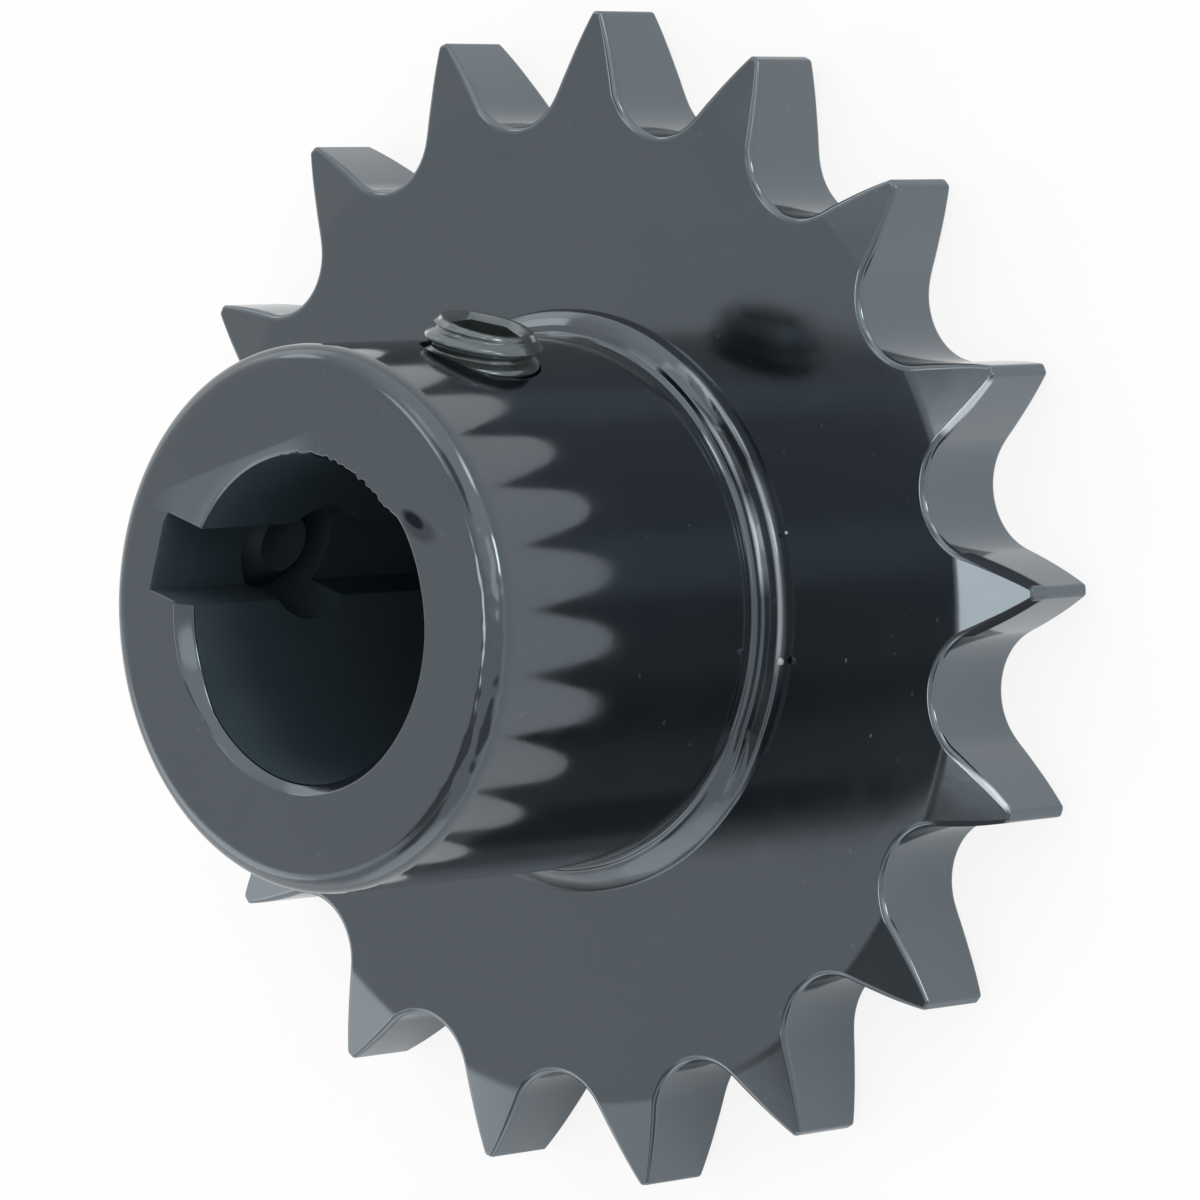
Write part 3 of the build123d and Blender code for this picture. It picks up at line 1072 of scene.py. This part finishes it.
dress(make_plate([plate_paint, tooth_paint]), "toothed_plate")
dress(make_hub([hub_paint, bore_paint]), "hub")
dress(make_weld([weld_paint, speck_highlight_paint]), "weld_bead")
shaft_screw = make_screw(
    "set_screw_threaded",
    [screw_finish, socket_shade_finish],
    screw_low.x, screw_high.x, 0.0, SET_SCREW_PHASE,
)
dress(shaft_screw, "set_screw")
keyway_screw = make_screw(
    "keyway_screw_threaded",
    [screw_finish, bore_paint],
    key_screw_low.y, key_screw_high.y, KEYWAY_TURN, KEYWAY_SCREW_PHASE,
)
dress(keyway_screw, "keyway_set_screw")

# -------- stage

FLOOR_HALF = 3.0
FLOOR_SHADE = (0.92, 0.92, 0.92)
# How far the floor shows as plain white by itself: to the camera, and in reflections on the
# shaded and on the lit side of the part, with the places between which these brighten.
FLOOR_GLOW = 0.85
MIRRORED_GLOW_SHADED = 0.2
MIRRORED_GLOW_LIT = 1.0
LIT_AZIMUTH = -20.0
SHADED_PLACE = -50.0
LIT_PLACE = 35.0
# The radii between which the glow sets in. There is none under the part or in its bore.
GLOW_START = 20.0
GLOW_FULL = 36.0


def make_floor():
    """A pale floor that keeps the part's shadow and shows in the part's gloss."""
    corners = [(x * FLOOR_HALF, y * FLOOR_HALF, 0) for x, y in ((-1, -1), (1, -1), (1, 1), (-1, 1))]
    mesh = bpy.data.meshes.new("floor")
    mesh.from_pydata(corners, [], [(0, 1, 2, 3)])
    floor = bpy.data.objects.new("floor", mesh)
    bpy.context.scene.collection.objects.link(floor)
    material, graph = new_material("pale_floor")
    graph.nodes.remove(graph.nodes["Principled BSDF"])
    diffuse = graph.node("ShaderNodeBsdfDiffuse", Color=FLOOR_SHADE)
    glow = graph.node("ShaderNodeEmission")
    path = graph.node("ShaderNodeLightPath")
    x, y, _, radius, _ = graph.place()
    towards_light = graph.along(x, y, *cos_sin(LIT_AZIMUTH))
    mirrored = graph.ramp(
        towards_light, SHADED_PLACE, LIT_PLACE, MIRRORED_GLOW_SHADED, MIRRORED_GLOW_LIT
    )
    seen = graph.calc(
        "ADD",
        graph.product(path.outputs["Is Camera Ray"], FLOOR_GLOW),
        graph.product(path.outputs["Is Glossy Ray"], mirrored),
    )
    mix = graph.node("ShaderNodeMixShader")
    graph.plug(graph.product(seen, graph.ramp(radius, GLOW_START, GLOW_FULL)), mix.inputs["Fac"])
    graph.plug(diffuse.outputs["BSDF"], mix.inputs[1])
    graph.plug(glow.outputs["Emission"], mix.inputs[2])
    graph.plug(mix.outputs["Shader"], graph.nodes["Material Output"].inputs["Surface"])
    mesh.materials.append(material)


# Soft panels round the object: azimuth and elevation, inner and outer reach, all in degrees,
# and level.
PANELS = {
    "bright_side": (-5, 30, 20, 62, 1.35),
    "left_softbox": (130, 26, 9, 18, 2.1),
    "left_softbox_upper": (139, 44, 5, 11, 1.35),
    "low_left": (-172, 12, 12, 25, 1.6),
    "low_right": (64, 3, 8, 17, 1.6),
    "hub_rim_lamp": (66, 21, 4, 8, 2.4),
    "dark_corner": (-118, 35, 9, 19, 0.3),
    "dark_flag": (131, 57, 6, 10, 0.25),
    "dark_flag_wide": (156, 62, 9, 13, 0.3),
    "dark_flag_back": (-178, 44, 8, 12, 0.3),
    "dark_flag_high": (12, 62, 7, 12, 0.4),
    "lamp_above": (114, 69, 5, 7, 4.2),
    "lamp_right": (68, 59, 5, 9, 2.6),
    "lamp_front": (-50, 10, 5, 9, 8.0),
    "lamp_front_high": (-54, 42, 8, 13, 2.0),
    "lamp_side": (-17, 12, 5, 10, 4.5),
    "lamp_inner": (24, 47, 3, 9, 1.9),
}
DOME_LEVEL = 0.85
HORIZON_LEVEL = 1.2
# Share of the view's direction that points down, where the horizon's level starts and is full.
HORIZON_START = -0.45
HORIZON_FULL = -0.1


def direction_of(azimuth, elevation):
    a, e = radians(azimuth), radians(elevation)
    return Vector((cos(a) * cos(e), sin(a) * cos(e), sin(e)))


def make_world():
    """A pale studio dome, brighter towards the horizon, with a few soft panels."""
    world = bpy.data.worlds.new("studio")
    bpy.context.scene.world = world
    world.use_nodes = True
    graph = Graph(world.node_tree)
    background = graph.nodes["Background"]
    graph.plug((1, 1, 1), background.inputs["Color"])
    view = graph.nodes.new("ShaderNodeTexCoord").outputs["Generated"]

    def blended(level, towards, far, near, target):
        """A level mixed towards another where the view's dot product with a direction goes from
        far to near."""
        dot = graph.nodes.new("ShaderNodeVectorMath")
        dot.operation = "DOT_PRODUCT"
        graph.plug(view, dot.inputs[0])
        graph.plug(towards, dot.inputs[1])
        share = graph.ramp(dot.outputs["Value"], far, near, kind="SMOOTHSTEP")
        return graph.node("ShaderNodeMix", Factor=share, A=level, B=target).outputs["Result"]

    down = Vector((0, 0, -1))
    level = blended(DOME_LEVEL, down, HORIZON_START, HORIZON_FULL, HORIZON_LEVEL)
    for azimuth, elevation, inner, outer, target in PANELS.values():
        far, near = cos(radians(outer)), cos(radians(inner))
        level = blended(level, direction_of(azimuth, elevation), far, near, target)
    graph.plug(level, background.inputs["Strength"])


# The camera by what it looks at in millimetres, its distance in metres, its direction from there
# and its roll in degrees, and its lens in millimetres.
CAMERA_AIM = (4.983, -12.487, 19.55)
CAMERA_DISTANCE = 0.5600
CAMERA_DIRECTION = (-67.781, 46.826)
CAMERA_ROLL = 94.072
CAMERA_SENSOR = 36.0
CAMERA_LENS = 217.22
CAMERA_CLIP = (0.05, 20.0)


def make_camera():
    """The camera, turned by its roll from upright."""
    roll = radians(CAMERA_ROLL)
    back = direction_of(*CAMERA_DIRECTION)
    level = (-back).cross(Vector((0, 0, 1))).normalized()
    up = level * sin(roll) + level.cross(-back) * cos(roll)
    right = (-back).cross(up)
    camera = bpy.data.objects.new("camera", bpy.data.cameras.new("camera"))
    bpy.context.scene.collection.objects.link(camera)
    turned_to = Matrix((right, up, back)).transposed().to_4x4()
    place = Vector(CAMERA_AIM) * MM + back * CAMERA_DISTANCE
    camera.matrix_world = Matrix.Translation(place) @ turned_to
    camera.data.sensor_width = CAMERA_SENSOR
    camera.data.lens = CAMERA_LENS
    camera.data.clip_start, camera.data.clip_end = CAMERA_CLIP
    bpy.context.scene.camera = camera


make_floor()
make_world()
make_camera()
bpy.context.scene.view_settings.view_transform = "Standard"
